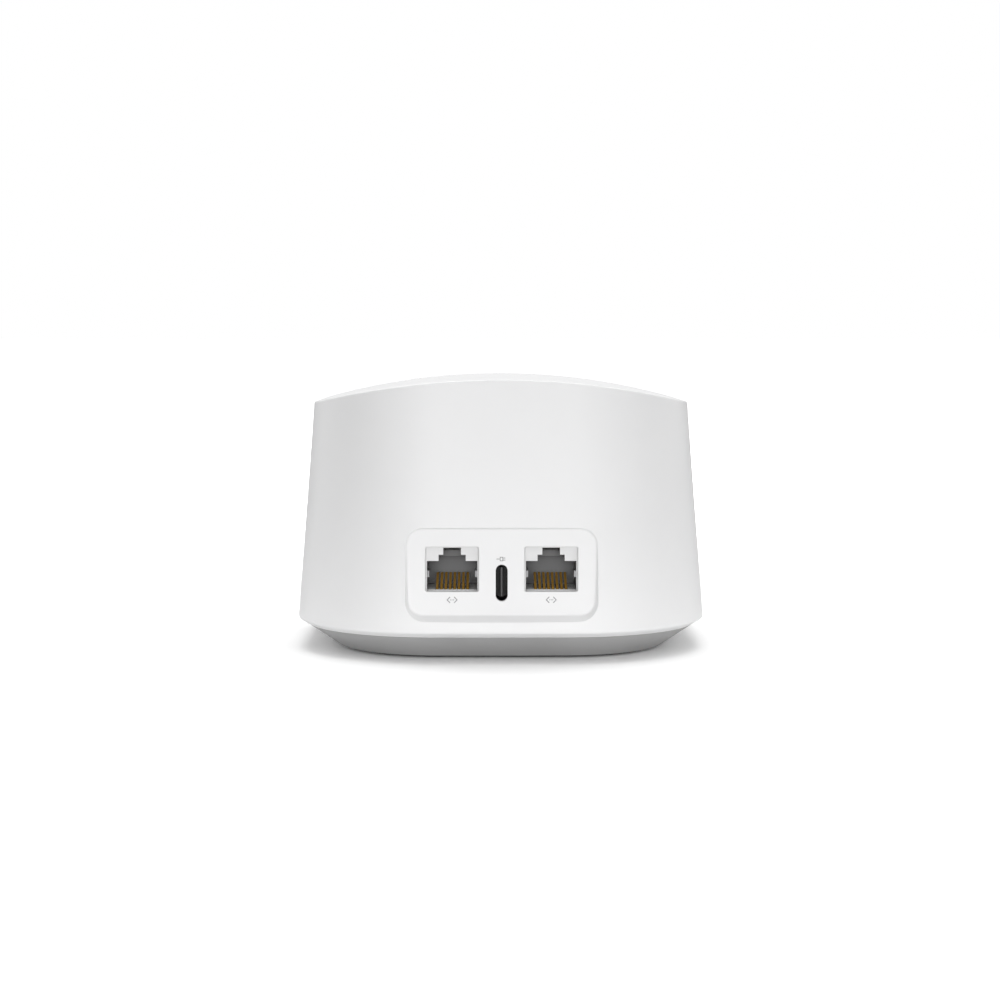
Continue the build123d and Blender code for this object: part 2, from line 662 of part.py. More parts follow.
CAP_XY = [(-34, 16.5), (-34, -3)]
with BuildPart() as capacitors:
    with BuildSketch(Plane.XY.offset(PCB_TOP_Z)):
        with Locations(*CAP_XY):
            Rectangle(6.6, 6.6)
    extrude(amount=0.9)
    with BuildSketch(Plane.XY.offset(PCB_TOP_Z + 0.9)):
        with Locations(*CAP_XY):
            Circle(3.15)
    extrude(amount=6.8)
    can_tops = capacitors.faces().filter_by(Axis.Z).sort_by(Axis.Z)[-2:]
    fillet(can_tops.edges(), 0.5)
save(capacitors, "capacitors")

# ------------------------------------------------------------------ cooling
PAD_TOP_Z = SINK_Z
with BuildPart() as thermal_pads:
    with BuildSketch(Plane.XY.offset(PCB_TOP_Z + 1.3)):
        with Locations((0, -8)):
            Rectangle(11, 11)
    extrude(amount=PAD_TOP_Z - PCB_TOP_Z - 1.3)
    with BuildSketch(Plane.XY.offset(PCB_TOP_Z + 2.1)):
        with Locations(*CANS):
            Rectangle(11, 20)
    extrude(amount=PAD_TOP_Z - PCB_TOP_Z - 2.1)
    with BuildSketch(Plane.XY.offset(10.6)):
        with Locations((0, -8)):
            Rectangle(18, 18)
    extrude(amount=PCB_BOTTOM_Z - 10.6)
save(thermal_pads, "thermal_pads")

with BuildPart() as heatsink:
    with BuildSketch(Plane.XY.offset(SINK_Z)):
        with Locations((0, -12.5)):
            RectangleRounded(46, 37, 1.5)
    extrude(amount=SINK_PLATE)
    with BuildSketch(Plane.XY.offset(SINK_Z + SINK_PLATE)):
        with Locations((0, -12.5)):
            with GridLocations(4.3, 1, FIN_COUNT, 1):
                Rectangle(1.4, 37)
    extrude(amount=FIN_TOP_Z - SINK_Z - SINK_PLATE)
    with BuildSketch(Plane.XY.offset(PCB_TOP_Z)):
        with Locations(*SINK_SCREWS):
            Circle(2.7)
    extrude(amount=SINK_Z - PCB_TOP_Z)
    with BuildSketch(Plane.XY.offset(PCB_TOP_Z)):
        with Locations(*SINK_SCREWS):
            Circle(1.25)
    extrude(amount=6.0, mode=Mode.SUBTRACT)
save(heatsink, "heatsink")

SPREADER_Z = 9.4
with BuildPart() as heat_spreader:
    with BuildSketch(Plane.XY.offset(SPREADER_Z)):
        with Locations((0, -13)):
            RectangleRounded(46, 38, 3)
        with Locations(*SINK_SCREWS):
            Circle(1.5, mode=Mode.SUBTRACT)
    extrude(amount=1.2)
    with BuildSketch(Plane.XY.offset(SPREADER_Z + 1.2)):
        with Locations(*SINK_SCREWS):
            Circle(2.7)
            Circle(1.5, mode=Mode.SUBTRACT)
    extrude(amount=PCB_BOTTOM_Z - SPREADER_Z - 1.2)
save(heat_spreader, "heat_spreader")

with BuildPart() as sink_screws:
    with BuildSketch(Plane.XY.offset(SPREADER_Z)):
        with Locations(*SINK_SCREWS):
            Circle(2.3)
    extrude(amount=-1.6)
    with BuildSketch(Plane.XY.offset(SPREADER_Z)):
        with Locations(*SINK_SCREWS):
            Circle(1.2)
    extrude(amount=9.5)
    with BuildSketch(Plane.XY.offset(SPREADER_Z - 1.6)):
        with Locations(*SINK_SCREWS):
            RegularPolygon(1.1, 6)
    extrude(amount=0.9, mode=Mode.SUBTRACT)
save(sink_screws, "heatsink_screws")

# ------------------------------------------------------------------ antennas
with BuildPart() as carrier:
    with BuildSketch(Plane.XY.offset(CARRIER_Z)):
        with Locations((0, -0.5)):
            RectangleRounded(77, 41, 5)
        with Locations((0, -28)):
            RectangleRounded(32, 15, 2)
        with Locations((0, 0)):
            RectangleRounded(34, 24, 3, mode=Mode.SUBTRACT)
    extrude(amount=1.8)
    with BuildSketch(Plane.XY.offset(PCB_TOP_Z)):
        with Locations(*CARRIER_LEGS):
            RectangleRounded(4.5, 4.5, 0.6)
    extrude(amount=CARRIER_Z - PCB_TOP_Z)
    # ribs that the antenna plates are clipped to
    for hand in (-1, 1):
        with BuildSketch(Plane.XY.offset(CARRIER_Z - 9)):
            with Locations((hand * 34.7, 9), (hand * 34.7, -9)):
                Rectangle(1.8, 3)
        extrude(amount=9)
    with BuildSketch(Plane.XY.offset(CARRIER_Z - 9)):
        with Locations((9, -34.4), (-9, -34.4)):
            Rectangle(3, 2.0)
    extrude(amount=9)
save(carrier, "antenna_carrier")

ANT_T = 0.4
SIDE_ANT_X = 35.8
FRONT_ANT_Y = -33.0
antenna_top = [(-14, 47), (14, 47), (14, 33), (3, 33), (3, 29)]
antenna_stem = [(-5, 29), (-5, 24), (-11, 24), (-11, 33), (-14, 33)]
for side, antenna_x in (("left", SIDE_ANT_X), ("right", -SIDE_ANT_X)):
    with BuildPart() as antenna:
        with BuildSketch(Plane.YZ.offset(antenna_x)):
            with BuildLine():
                Polyline(*antenna_top, *antenna_stem, close=True)
            make_face()
            with Locations((2, 40)):
                SlotOverall(18, 1.6, mode=Mode.SUBTRACT)
        extrude(amount=ANT_T / 2, both=True)
    save(antenna, "antenna_" + side)

front_antenna_top = [(-13, 47), (13, 47), (13, 34), (-3, 34)]
front_antenna_stem = [(-3, 27), (-9, 27), (-9, 34), (-13, 34)]
with BuildPart() as front_antenna:
    with BuildSketch(Plane.XZ.offset(-FRONT_ANT_Y)):
        with BuildLine():
            Polyline(*front_antenna_top, *front_antenna_stem, close=True)
        make_face()
        with Locations((2, 41)):
            SlotOverall(15, 1.6, mode=Mode.SUBTRACT)
    extrude(amount=ANT_T / 2, both=True)
save(front_antenna, "antenna_front")

# coax leads, each from its board plug up to the foot of its antenna
LEAD_BEND_R = 4.5
lead_ends = [
    (Vector(SIDE_ANT_X, -18.4, LEAD_Z), Vector(SIDE_ANT_X, -8, LEAD_Z), Vector(SIDE_ANT_X, -8, 23.95)),
    (Vector(-SIDE_ANT_X, -18.4, LEAD_Z), Vector(-SIDE_ANT_X, -8, LEAD_Z), Vector(-SIDE_ANT_X, -8, 23.95)),
    (Vector(-18.4, FRONT_ANT_Y, LEAD_Z), Vector(-6, FRONT_ANT_Y, LEAD_Z), Vector(-6, FRONT_ANT_Y, 26.95)),
]
with BuildPart() as coax_leads:
    for start, corner, end in lead_ends:
        with BuildLine() as route:
            FilletPolyline(start, corner, end, radius=LEAD_BEND_R)
        with BuildSketch(Plane(origin=start, z_dir=corner - start)):
            Circle(LEAD_R)
        sweep(path=route.line)
save(coax_leads, "coax_leads")

PLUGS = [(SIDE_ANT_X, -20.2, 90), (-SIDE_ANT_X, -20.2, 90), (-20.2, FRONT_ANT_Y, 0)]
with BuildPart() as coax_plugs:
    for plug_x, plug_y, turn in PLUGS:
        with BuildSketch(Plane.XY.offset(PCB_TOP_Z)):
            with Locations((plug_x, plug_y)):
                Circle(1.35)
        extrude(amount=1.9)
        with BuildSketch(Plane.XY.offset(PCB_TOP_Z + 0.3)):
            with Locations(Location((plug_x, plug_y), turn)):
                with Locations((0.9, 0)):
                    Rectangle(1.7, 1.7)
        extrude(amount=1.6)
save(coax_plugs, "coax_plugs")
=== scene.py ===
import json
import math

import bmesh
import bpy
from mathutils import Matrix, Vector


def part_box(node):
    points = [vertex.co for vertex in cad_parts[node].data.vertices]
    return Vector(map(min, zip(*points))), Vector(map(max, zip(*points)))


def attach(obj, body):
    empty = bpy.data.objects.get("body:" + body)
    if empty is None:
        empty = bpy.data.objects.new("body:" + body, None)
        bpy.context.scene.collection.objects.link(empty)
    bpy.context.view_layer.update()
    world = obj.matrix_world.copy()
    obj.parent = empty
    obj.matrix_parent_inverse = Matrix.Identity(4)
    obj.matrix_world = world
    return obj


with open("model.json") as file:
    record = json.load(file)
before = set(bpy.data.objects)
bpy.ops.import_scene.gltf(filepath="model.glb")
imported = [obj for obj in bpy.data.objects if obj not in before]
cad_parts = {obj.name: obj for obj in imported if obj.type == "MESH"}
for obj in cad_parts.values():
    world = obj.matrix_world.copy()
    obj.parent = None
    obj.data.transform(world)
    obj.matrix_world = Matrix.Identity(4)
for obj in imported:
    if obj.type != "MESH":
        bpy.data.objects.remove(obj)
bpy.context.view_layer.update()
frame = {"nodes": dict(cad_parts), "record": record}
scene = bpy.context.scene
MM = 0.001
MOUNTS = {mount["name"]: Vector(mount["pos_m"]) for mount in frame["record"]["mounts"]}
SLOT_OF = {entry["node"]: entry["material_slot"] for entry in frame["record"]["subparts"]}

# a Mix node's colour sockets share their names with its other sockets, so they go by number
COLOUR_A = 6
COLOUR_B = 7
COLOUR_OUT = 2

# ------------------------------------------------------------------ materials
# relief of each surface
GRAIN_DEPTH = 0.02 * MM
STREAK_DEPTH = 0.01 * MM
BLAST_DEPTH = 0.04 * MM
TRACK_DEPTH = 0.03 * MM
# how far from a corner a socket's painted crevice shade reaches, and over how far from its back wall its
# painted shade fades away
CREVICE_REACH = 2.5 * MM
BACK_FADE = 1.5 * MM
EDGE_RADIUS = 0.22 * MM


def new_material(name):
    mat = bpy.data.materials.new(name)
    mat.use_nodes = True
    tree = mat.node_tree
    shader = tree.nodes["Principled BSDF"]
    return mat, tree, shader


def object_coords(tree, scale):
    """Object coordinates scaled so that one unit is 1/scale metres."""
    coords = tree.nodes.new("ShaderNodeTexCoord")
    mapping = tree.nodes.new("ShaderNodeMapping")
    mapping.inputs["Scale"].default_value = scale if hasattr(scale, "__len__") else (scale, scale, scale)
    tree.links.new(coords.outputs["Object"], mapping.inputs["Vector"])
    return mapping.outputs["Vector"]


def noise(tree, vector, detail):
    tex = tree.nodes.new("ShaderNodeTexNoise")
    tex.inputs["Scale"].default_value = 1.0
    tex.inputs["Detail"].default_value = detail
    tex.inputs["Roughness"].default_value = 0.55
    tree.links.new(vector, tex.inputs["Vector"])
    return tex.outputs["Fac"]


def ramp(tree, value, stops):
    node = tree.nodes.new("ShaderNodeValToRGB")
    elements = node.color_ramp.elements
    while len(elements) < len(stops):
        elements.new(0.5)
    for element, (place, colour) in zip(elements, stops):
        element.position = place
        element.color = (*colour, 1.0)
    tree.links.new(value, node.inputs["Fac"])
    return node.outputs["Color"]


def span(tree, value, low, high, start=0.0, end=1.0):
    """Value as it goes from start to end, given out as low to high."""
    node = tree.nodes.new("ShaderNodeMapRange")
    node.inputs["From Min"].default_value = start
    node.inputs["From Max"].default_value = end
    node.inputs["To Min"].default_value = low
    node.inputs["To Max"].default_value = high
    tree.links.new(value, node.inputs["Value"])
    return node.outputs["Result"]


def multiply(tree, first, second):
    """Two colours multiplied together."""
    node = tree.nodes.new("ShaderNodeMix")
    node.data_type = "RGBA"
    node.blend_type = "MULTIPLY"
    node.inputs["Factor"].default_value = 1.0
    tree.links.new(first, node.inputs[COLOUR_A])
    tree.links.new(second, node.inputs[COLOUR_B])
    return node.outputs[COLOUR_OUT]


def bump(tree, height, strength, distance):
    node = tree.nodes.new("ShaderNodeBump")
    node.inputs["Strength"].default_value = strength
    node.inputs["Distance"].default_value = distance
    tree.links.new(height, node.inputs["Height"])
    return node.outputs["Normal"]


def shade(colour, factor):
    return tuple(min(1.0, c * factor) for c in colour)


def moulded(name, colour, rough, vary, grain, grain_strength, sheen=0.0):
    """Injection-moulded or rubbery surface: spark-eroded grain, slight cloudiness."""
    mat, tree, shader = new_material(name)
    clouds = noise(tree, object_coords(tree, 55), detail=4.0)
    tint = ramp(tree, clouds, [(0.3, shade(colour, 1 - vary)), (0.7, shade(colour, 1 + vary * 0.4))])
    tree.links.new(tint, shader.inputs["Base Color"])
    pits = noise(tree, object_coords(tree, grain), detail=2.0)
    tree.links.new(span(tree, pits, rough - 0.05, rough + 0.06), shader.inputs["Roughness"])
    tree.links.new(bump(tree, pits, grain_strength, GRAIN_DEPTH), shader.inputs["Normal"])
    if sheen:
        shader.inputs["Sheen Weight"].default_value = sheen
    return mat


def round_edges(mat, radius):
    """Makes a material's sharp edges catch light as a small radius would."""
    tree = mat.node_tree
    rounded = tree.nodes.new("ShaderNodeBevel")
    rounded.samples = 6
    rounded.inputs["Radius"].default_value = radius
    for node in tree.nodes:
        if node.type == "BUMP":
            tree.links.new(rounded.outputs["Normal"], node.inputs["Normal"])
    return mat


def socket_plastic(name, face_colour, cavity_shade_colour, floor_painted_light_colour, face_y, deep_y, back_y):
    """Socket moulding: its face keeps its own colour, and its cavity carries painted shade: walls and
    ceilings darker, up-facing floors lighter as painted light from above, darker still towards the back
    wall and in crevices.
    """
    mat = moulded(name, face_colour, rough=0.45, vary=0.04, grain=4000, grain_strength=0.15)
    tree = mat.node_tree
    shader = tree.nodes["Principled BSDF"]
    place = tree.nodes.new("ShaderNodeSeparateXYZ")
    tree.links.new(object_coords(tree, 1.0), place.inputs["Vector"])
    facing = tree.nodes.new("ShaderNodeNewGeometry")
    way = tree.nodes.new("ShaderNodeSeparateXYZ")
    tree.links.new(facing.outputs["True Normal"], way.inputs["Vector"])
    crevice = tree.nodes.new("ShaderNodeAmbientOcclusion")
    crevice.samples = 4
    crevice.inputs["Distance"].default_value = CREVICE_REACH

    # painted light and shade: the cavity's walls and ceilings take the painted shade colour, its
    # up-facing floors the lighter colour of painted light from above
    cavity = ramp(tree, way.outputs["Z"], [(0.3, cavity_shade_colour), (0.8, floor_painted_light_colour)])
    # painted shade, darker towards the back wall
    back_shade = span(tree, place.outputs["Y"], 0.72, 1.0, start=back_y, end=back_y + BACK_FADE)
    # painted shade in crevices from ambient occlusion, a little brighter in the open
    painted_crevice_shade = ramp(tree, crevice.outputs["AO"], [(0.35, (0.35, 0.35, 0.35)), (0.8, (1.1, 1.1, 1.1))])
    deep = multiply(tree, multiply(tree, cavity, back_shade), painted_crevice_shade)

    # the face keeps its own colour; further in, the painted shade takes over
    tint = tree.nodes.new("ShaderNodeMix")
    tint.data_type = "RGBA"
    out = span(tree, place.outputs["Y"], 0.0, 1.0, start=deep_y, end=face_y)
    tree.links.new(out, tint.inputs["Factor"])
    tree.links.new(deep, tint.inputs[COLOUR_A])
    tint.inputs[COLOUR_B].default_value = (*face_colour, 1.0)
    tree.links.new(tint.outputs[COLOUR_OUT], shader.inputs["Base Color"])
    return mat


def metal(name, colour, rough, streak):
    """Rolled, stamped or plated metal with fine directional streaks."""
    mat, tree, shader = new_material(name)
    shader.inputs["Metallic"].default_value = 1.0
    streaks = noise(tree, object_coords(tree, streak), detail=4.0)
    tint = ramp(tree, streaks, [(0.3, shade(colour, 0.92)), (0.7, shade(colour, 1.04))])
    tree.links.new(tint, shader.inputs["Base Color"])
    tree.links.new(span(tree, streaks, rough - 0.08, rough + 0.1), shader.inputs["Roughness"])
    tree.links.new(bump(tree, streaks, 0.15, STREAK_DEPTH), shader.inputs["Normal"])
    return mat


def gilt(name, colour):
    """Worn gold flash over nickel: a soft sheen rather than a mirror."""
    mat, tree, shader = new_material(name)
    shader.inputs["Metallic"].default_value = 0.35
    wear = noise(tree, object_coords(tree, 500), detail=3.0)
    tint = ramp(tree, wear, [(0.3, shade(colour, 0.9)), (0.7, shade(colour, 1.05))])
    tree.links.new(tint, shader.inputs["Base Color"])
    tree.links.new(span(tree, wear, 0.38, 0.5), shader.inputs["Roughness"])
    return mat


def cast(name, colour):
    """Die-cast aluminium, bead blasted."""
    mat, tree, shader = new_material(name)
    shader.inputs["Metallic"].default_value = 1.0
    clouds = noise(tree, object_coords(tree, 120), detail=5.0)
    tint = ramp(tree, clouds, [(0.25, shade(colour, 0.86)), (0.75, shade(colour, 1.05))])
    tree.links.new(tint, shader.inputs["Base Color"])
    pits = noise(tree, object_coords(tree, 1500), detail=3.0)
    tree.links.new(span(tree, pits, 0.42, 0.6), shader.inputs["Roughness"])
    tree.links.new(bump(tree, pits, 0.4, BLAST_DEPTH), shader.inputs["Normal"])
    return mat


def circuit_board(name):
    """Solder mask with copper tracks showing faintly through it."""
    mat, tree, shader = new_material(name)
    cells = tree.nodes.new("ShaderNodeTexVoronoi")
    cells.feature = "DISTANCE_TO_EDGE"
    cells.distance = "MANHATTAN"
    cells.inputs["Scale"].default_value = 1.0
    tree.links.new(object_coords(tree, (420, 420, 40)), cells.inputs["Vector"])
    copper_green = (0.012, 0.085, 0.045)
    mask_green = (0.006, 0.045, 0.025)
    tracks = ramp(tree, cells.outputs["Distance"], [(0.02, copper_green), (0.09, mask_green)])
    tree.links.new(tracks, shader.inputs["Base Color"])
    weave = noise(tree, object_coords(tree, 1800), detail=2.0)
    tree.links.new(span(tree, weave, 0.28, 0.42), shader.inputs["Roughness"])
    tree.links.new(bump(tree, cells.outputs["Distance"], 0.15, TRACK_DEPTH), shader.inputs["Normal"])
    return mat


# the network and power sockets' looks change with depth from these faces
JACK_FACE_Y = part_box("rj45_left_insert")[1].y
POWER_FACE_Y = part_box("usb_c_shell")[1].y

# name: colour, roughness, cloudiness, grain per metre, grain strength, sheen
MOULDED = {
    "base_grey": ((0.40, 0.40, 0.40), 0.55, 0.04, 2800, 0.3, 0.0),
    "foot_rubber": ((0.028, 0.028, 0.03), 0.8, 0.15, 1600, 0.4, 0.2),
    "label_film": ((0.42, 0.43, 0.44), 0.38, 0.03, 5000, 0.08, 0.0),
    "connector_black": ((0.012, 0.012, 0.013), 0.45, 0.12, 3500, 0.25, 0.0),
    "chip_black": ((0.02, 0.02, 0.022), 0.6, 0.12, 5200, 0.35, 0.0),
    "ceramic_white": ((0.66, 0.63, 0.56), 0.25, 0.05, 4000, 0.08, 0.0),
    "ferrite_grey": ((0.04, 0.04, 0.043), 0.5, 0.15, 3000, 0.4, 0.0),
    "led_white": ((0.82, 0.82, 0.74), 0.3, 0.03, 3000, 0.1, 0.0),
    "light_guide": ((0.66, 0.68, 0.68), 0.35, 0.02, 3600, 0.12, 0.0),
    "button_grey": ((0.12, 0.125, 0.13), 0.5, 0.08, 3200, 0.25, 0.0),
    "port_ink": ((0.28, 0.28, 0.285), 0.6, 0.06, 5000, 0.1, 0.0),
    "thermal_pad": ((0.17, 0.26, 0.40), 0.75, 0.08, 1400, 0.5, 0.0),
    "cable_jacket": ((0.012, 0.012, 0.012), 0.4, 0.2, 3000, 0.25, 0.0),
}
# name: colour, roughness, streaks per metre along X, Y and Z
METALS = {
    "screw_steel": ((0.50, 0.50, 0.51), 0.32, (700, 700, 700)),
    "tinned_steel": ((0.62, 0.62, 0.63), 0.3, (900, 900, 60)),
    "antenna_metal": ((0.62, 0.57, 0.45), 0.33, (900, 900, 60)),
    "capacitor_can": ((0.68, 0.68, 0.69), 0.3, (600, 600, 100)),
    "dull_tin": ((0.30, 0.30, 0.305), 0.55, (900, 900, 60)),
    # the power socket's shell, coloured near black
    "near_black_steel": ((0.02, 0.02, 0.021), 0.5, (900, 900, 60)),
    # painted shade: the power socket's contacts are coloured near black, as the shade deep in the socket
    "usb_contacts_painted_shade": ((0.03, 0.0295, 0.0285), 0.5, (900, 900, 60)),
}

MATERIALS = {name: moulded(name, *look) for name, look in MOULDED.items()}
MATERIALS.update({name: metal(name, *look) for name, look in METALS.items()})
MATERIALS["shell_white"] = round_edges(
    moulded("shell_white", (0.80, 0.80, 0.803), rough=0.52, vary=0.012, grain=3200, grain_strength=0.22),
    EDGE_RADIUS,
)
# the network sockets: light grey face, with painted shade and painted light inside the cavity
MATERIALS["socket_plastic"] = socket_plastic(
    "socket_plastic",
    face_colour=(0.70, 0.70, 0.70),
    cavity_shade_colour=(0.17, 0.17, 0.172),
    floor_painted_light_colour=(0.75, 0.75, 0.75),
    face_y=JACK_FACE_Y - 0.25 * MM,
    deep_y=JACK_FACE_Y - 0.65 * MM,
    back_y=JACK_FACE_Y - 13.75 * MM,
)
# the power socket: near-black face, painted almost black inside as shade
MATERIALS["power_plastic"] = socket_plastic(
    "power_plastic",
    face_colour=(0.055, 0.055, 0.056),
    cavity_shade_colour=(0.003, 0.003, 0.003),
    floor_painted_light_colour=(0.003, 0.003, 0.003),
    face_y=POWER_FACE_Y - 1.15 * MM,
    deep_y=POWER_FACE_Y - 6.15 * MM,
    back_y=POWER_FACE_Y - 14.15 * MM,
)
MATERIALS["contact_gold"] = gilt("contact_gold", (0.58, 0.32, 0.055))
MATERIALS["cast_aluminium"] = cast("cast_aluminium", (0.55, 0.56, 0.57))
MATERIALS["board_laminate"] = circuit_board("board_laminate")

# nodes whose look differs from the rest of their slot
NODE_MATERIAL = {
    "rj45_left_shield": "dull_tin",
    "rj45_right_shield": "dull_tin",
    "usb_c_shell": "near_black_steel",
    "usb_c_insulator": "power_plastic",
    # painted shade: the power socket's contacts coloured near black
    "usb_c_contacts": "usb_contacts_painted_shade",
}

for node, piece in frame["nodes"].items():
    mat = MATERIALS[NODE_MATERIAL.get(node, SLOT_OF[node])]
    if piece.data.materials:
        for index in range(len(piece.data.materials)):
            piece.data.materials[index] = mat
    else:
        piece.data.materials.append(mat)

# ------------------------------------------------------------------ printed port marks
PANEL_Y = MOUNTS["usb_c_socket"].y
INK_DEPTH = 0.02 * MM
INK_SINK = 0.01 * MM
NETWORK_MARK_Z = 14.6 * MM
POWER_MARK_Z = 24.1 * MM
SHARPEST_MITRE = 0.35
DOT_SIDES = 20


def stroke(points, width, closed):
    """Outline of a line of constant width through points, mitred at its corners."""
    count = len(points)
    left = []
    right = []
    for i, here in enumerate(points):
        before = points[i - 1] if (i > 0 or closed) else None
        after = points[(i + 1) % count] if (i < count - 1 or closed) else None
        runs = []
        if before is not None:
            runs.append((Vector(here) - Vector(before)).normalized())
        if after is not None:
            runs.append((Vector(after) - Vector(here)).normalized())
        normals = [Vector((-run.y, run.x)) for run in runs]
        across = sum(normals, Vector((0, 0))).normalized()
        reach = width / 2 / max(SHARPEST_MITRE, across.dot(normals[0]))
        left.append(Vector(here) + across * reach)
        right.append(Vector(here) - across * reach)
    return left, right


def print_mark(name, strokes, dots, centre):
    """Thin ink print on the port panel, in mm: strokes (points, width, closed), dots (point, radius)."""
    mesh = bmesh.new()

    def prism(outline_mm):
        low = []
        high = []
        for x, z in outline_mm:
            low.append(mesh.verts.new((centre.x + x * MM, PANEL_Y - INK_SINK, centre.z + z * MM)))
            high.append(mesh.verts.new((centre.x + x * MM, PANEL_Y + INK_DEPTH, centre.z + z * MM)))
        mesh.faces.new(low)
        mesh.faces.new(high)
        for i in range(len(low)):
            j = (i + 1) % len(low)
            mesh.faces.new((low[i], low[j], high[j], high[i]))

    for points, width, closed in strokes:
        left, right = stroke(points, width, closed)
        for i in range(len(points) if closed else len(points) - 1):
            j = (i + 1) % len(points)
            prism([left[i], left[j], right[j], right[i]])
    for (x, z), radius in dots:
        turns = [math.tau * step / DOT_SIDES for step in range(DOT_SIDES)]
        prism([(x + radius * math.cos(turn), z + radius * math.sin(turn)) for turn in turns])
    bmesh.ops.recalc_face_normals(mesh, faces=mesh.faces)
    data = bpy.data.meshes.new(name)
    mesh.to_mesh(data)
    mesh.free()
    piece = bpy.data.objects.new(name, data)
    scene.collection.objects.link(piece)
    data.materials.append(MATERIALS["port_ink"])
    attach(piece, "housing")


# sizes of the marks, in mm
MARK_LINE = 0.2
THIN_LINE = 0.16
CHEVRON_TIP = 1.14
CHEVRON_FOOT = 0.47
CHEVRON_RISE = 0.7
DOT_PITCH = 0.36
DOT_RADIUS = 0.11
LEAD_END = 1.2
PLUG_HEEL = 0.35
PLUG_FACE = -0.25
PLUG_RISE = 0.42
PRONG_TIP = -0.85
PRONG_RISE = 0.24

# two chevrons with three dots between them
chevrons = []
for way in (1, -1):
    foot = way * CHEVRON_FOOT
    chevron = [(foot, CHEVRON_RISE), (way * CHEVRON_TIP, 0.0), (foot, -CHEVRON_RISE)]
    chevrons.append((chevron, MARK_LINE, False))
link_dots = [((DOT_PITCH * place, 0.0), DOT_RADIUS) for place in (-1, 0, 1)]
for side in ("left", "right"):
    jack = MOUNTS["rj45_" + side + "_socket"]
    print_mark("network_mark_" + side, chevrons, link_dots, Vector((jack.x, 0, NETWORK_MARK_Z)))

# a plain plug: a lead, a body and two prongs
plug_body = [
    (PLUG_HEEL, PLUG_RISE), (PLUG_FACE, PLUG_RISE), (PLUG_FACE, -PLUG_RISE), (PLUG_HEEL, -PLUG_RISE)
]
plug_lines = [
    ([(LEAD_END, 0.0), (PLUG_HEEL, 0.0)], THIN_LINE, False),
    (plug_body, THIN_LINE, True),
    ([(PLUG_FACE, PRONG_RISE), (PRONG_TIP, PRONG_RISE)], THIN_LINE, False),
    ([(PLUG_FACE, -PRONG_RISE), (PRONG_TIP, -PRONG_RISE)], THIN_LINE, False),
]
print_mark("power_mark", plug_lines, [], Vector((MOUNTS["usb_c_socket"].x, 0, POWER_MARK_Z)))

# ------------------------------------------------------------------ camera
CAMERA_AT = Vector((0.0032, 0.5435, 0.0759))
AIM_X = 0.00013
PITCH = 0.0764
SENSOR_MM = 36.0
LENS_MM = 77.9
camera_data = bpy.data.cameras.new("camera")
camera_data.sensor_width = SENSOR_MM
camera_data.lens = LENS_MM
camera = bpy.data.objects.new("camera", camera_data)
scene.collection.objects.link(camera)
camera.location = CAMERA_AT
aim_z = CAMERA_AT.z - CAMERA_AT.y * math.tan(PITCH)
camera.rotation_euler = (Vector((AIM_X, 0, aim_z)) - CAMERA_AT).to_track_quat("-Z", "Y").to_euler()
scene.camera = camera

# ------------------------------------------------------------------ stage and light
# the floor is clear within this outline, just inside the foot ring's
CLEAR_HALF_X = 36.2 * MM
CLEAR_HALF_Y = 35.0 * MM
FLOOR_HALF = 30.0
FLOOR_GAP = 0.01 * MM
# brightness of the studio below the horizon
UNDER_LIGHT = 0.9
# how bright the paper looks and how much light it throws back, at two distances from the node, in metres
PAPER_LOOK = {"start": 0.12, "end": 0.5, "low": 1.04, "high": 2.2}
PAPER_BOUNCE = {"start": 0.068, "end": 0.125, "low": 0.95, "high": 0.36}
# brightness of the sky from just over the horizon to overhead
SKY = {"start": 0.2, "end": 1.0, "low": 0.066, "high": 0.86}
LAMP_AIM = (0, 0, 0.03)
# name: place, size and watts of each lamp
SOFTBOXES = {
    "key": ((0.0, 1.3, 0.16), (0.7, 0.26), 8.2),
    "rim_left": ((1.1, -0.75, 0.5), (0.5, 0.9), 6.0),
    "rim_right": ((-1.1, -0.75, 0.5), (0.5, 0.9), 4.7),
    "top": ((0.0, -0.35, 1.2), (1.0, 0.8), 8.5),
    "fill": ((-0.9, 0.9, 0.6), (0.6, 0.6), 2.1),
}
scene.view_settings.view_transform = "Standard"
scene.view_settings.look = "None"
scene.view_settings.exposure = 0.0


def arithmetic(tree, operation, first, second):
    """One Math node. second is a socket or a number."""
    node = tree.nodes.new("ShaderNodeMath")
    node.operation = operation
    tree.links.new(first, node.inputs[0])
    if isinstance(second, float):
        node.inputs[1].default_value = second
    else:
        tree.links.new(second, node.inputs[1])
    return node.outputs[0]


def vectors(tree, operation, first, second):
    """One Vector Math node with both of its inputs linked."""
    node = tree.nodes.new("ShaderNodeVectorMath")
    node.operation = operation
    tree.links.new(first, node.inputs[0])
    tree.links.new(second, node.inputs[1])
    return node


def under_foot(tree, place):
    """1 within the foot ring's outline, a square with round corners, and 0 outside it."""
    scaled = tree.nodes.new("ShaderNodeVectorMath")
    scaled.operation = "DIVIDE"
    scaled.inputs[1].default_value = (CLEAR_HALF_X, CLEAR_HALF_Y, 1.0)
    tree.links.new(place, scaled.inputs[0])
    squared = vectors(tree, "MULTIPLY", scaled.outputs["Vector"], scaled.outputs["Vector"])
    fourth = vectors(tree, "DOT_PRODUCT", squared.outputs["Vector"], squared.outputs["Vector"])
    return arithmetic(tree, "LESS_THAN", fourth.outputs["Value"], 1.0)


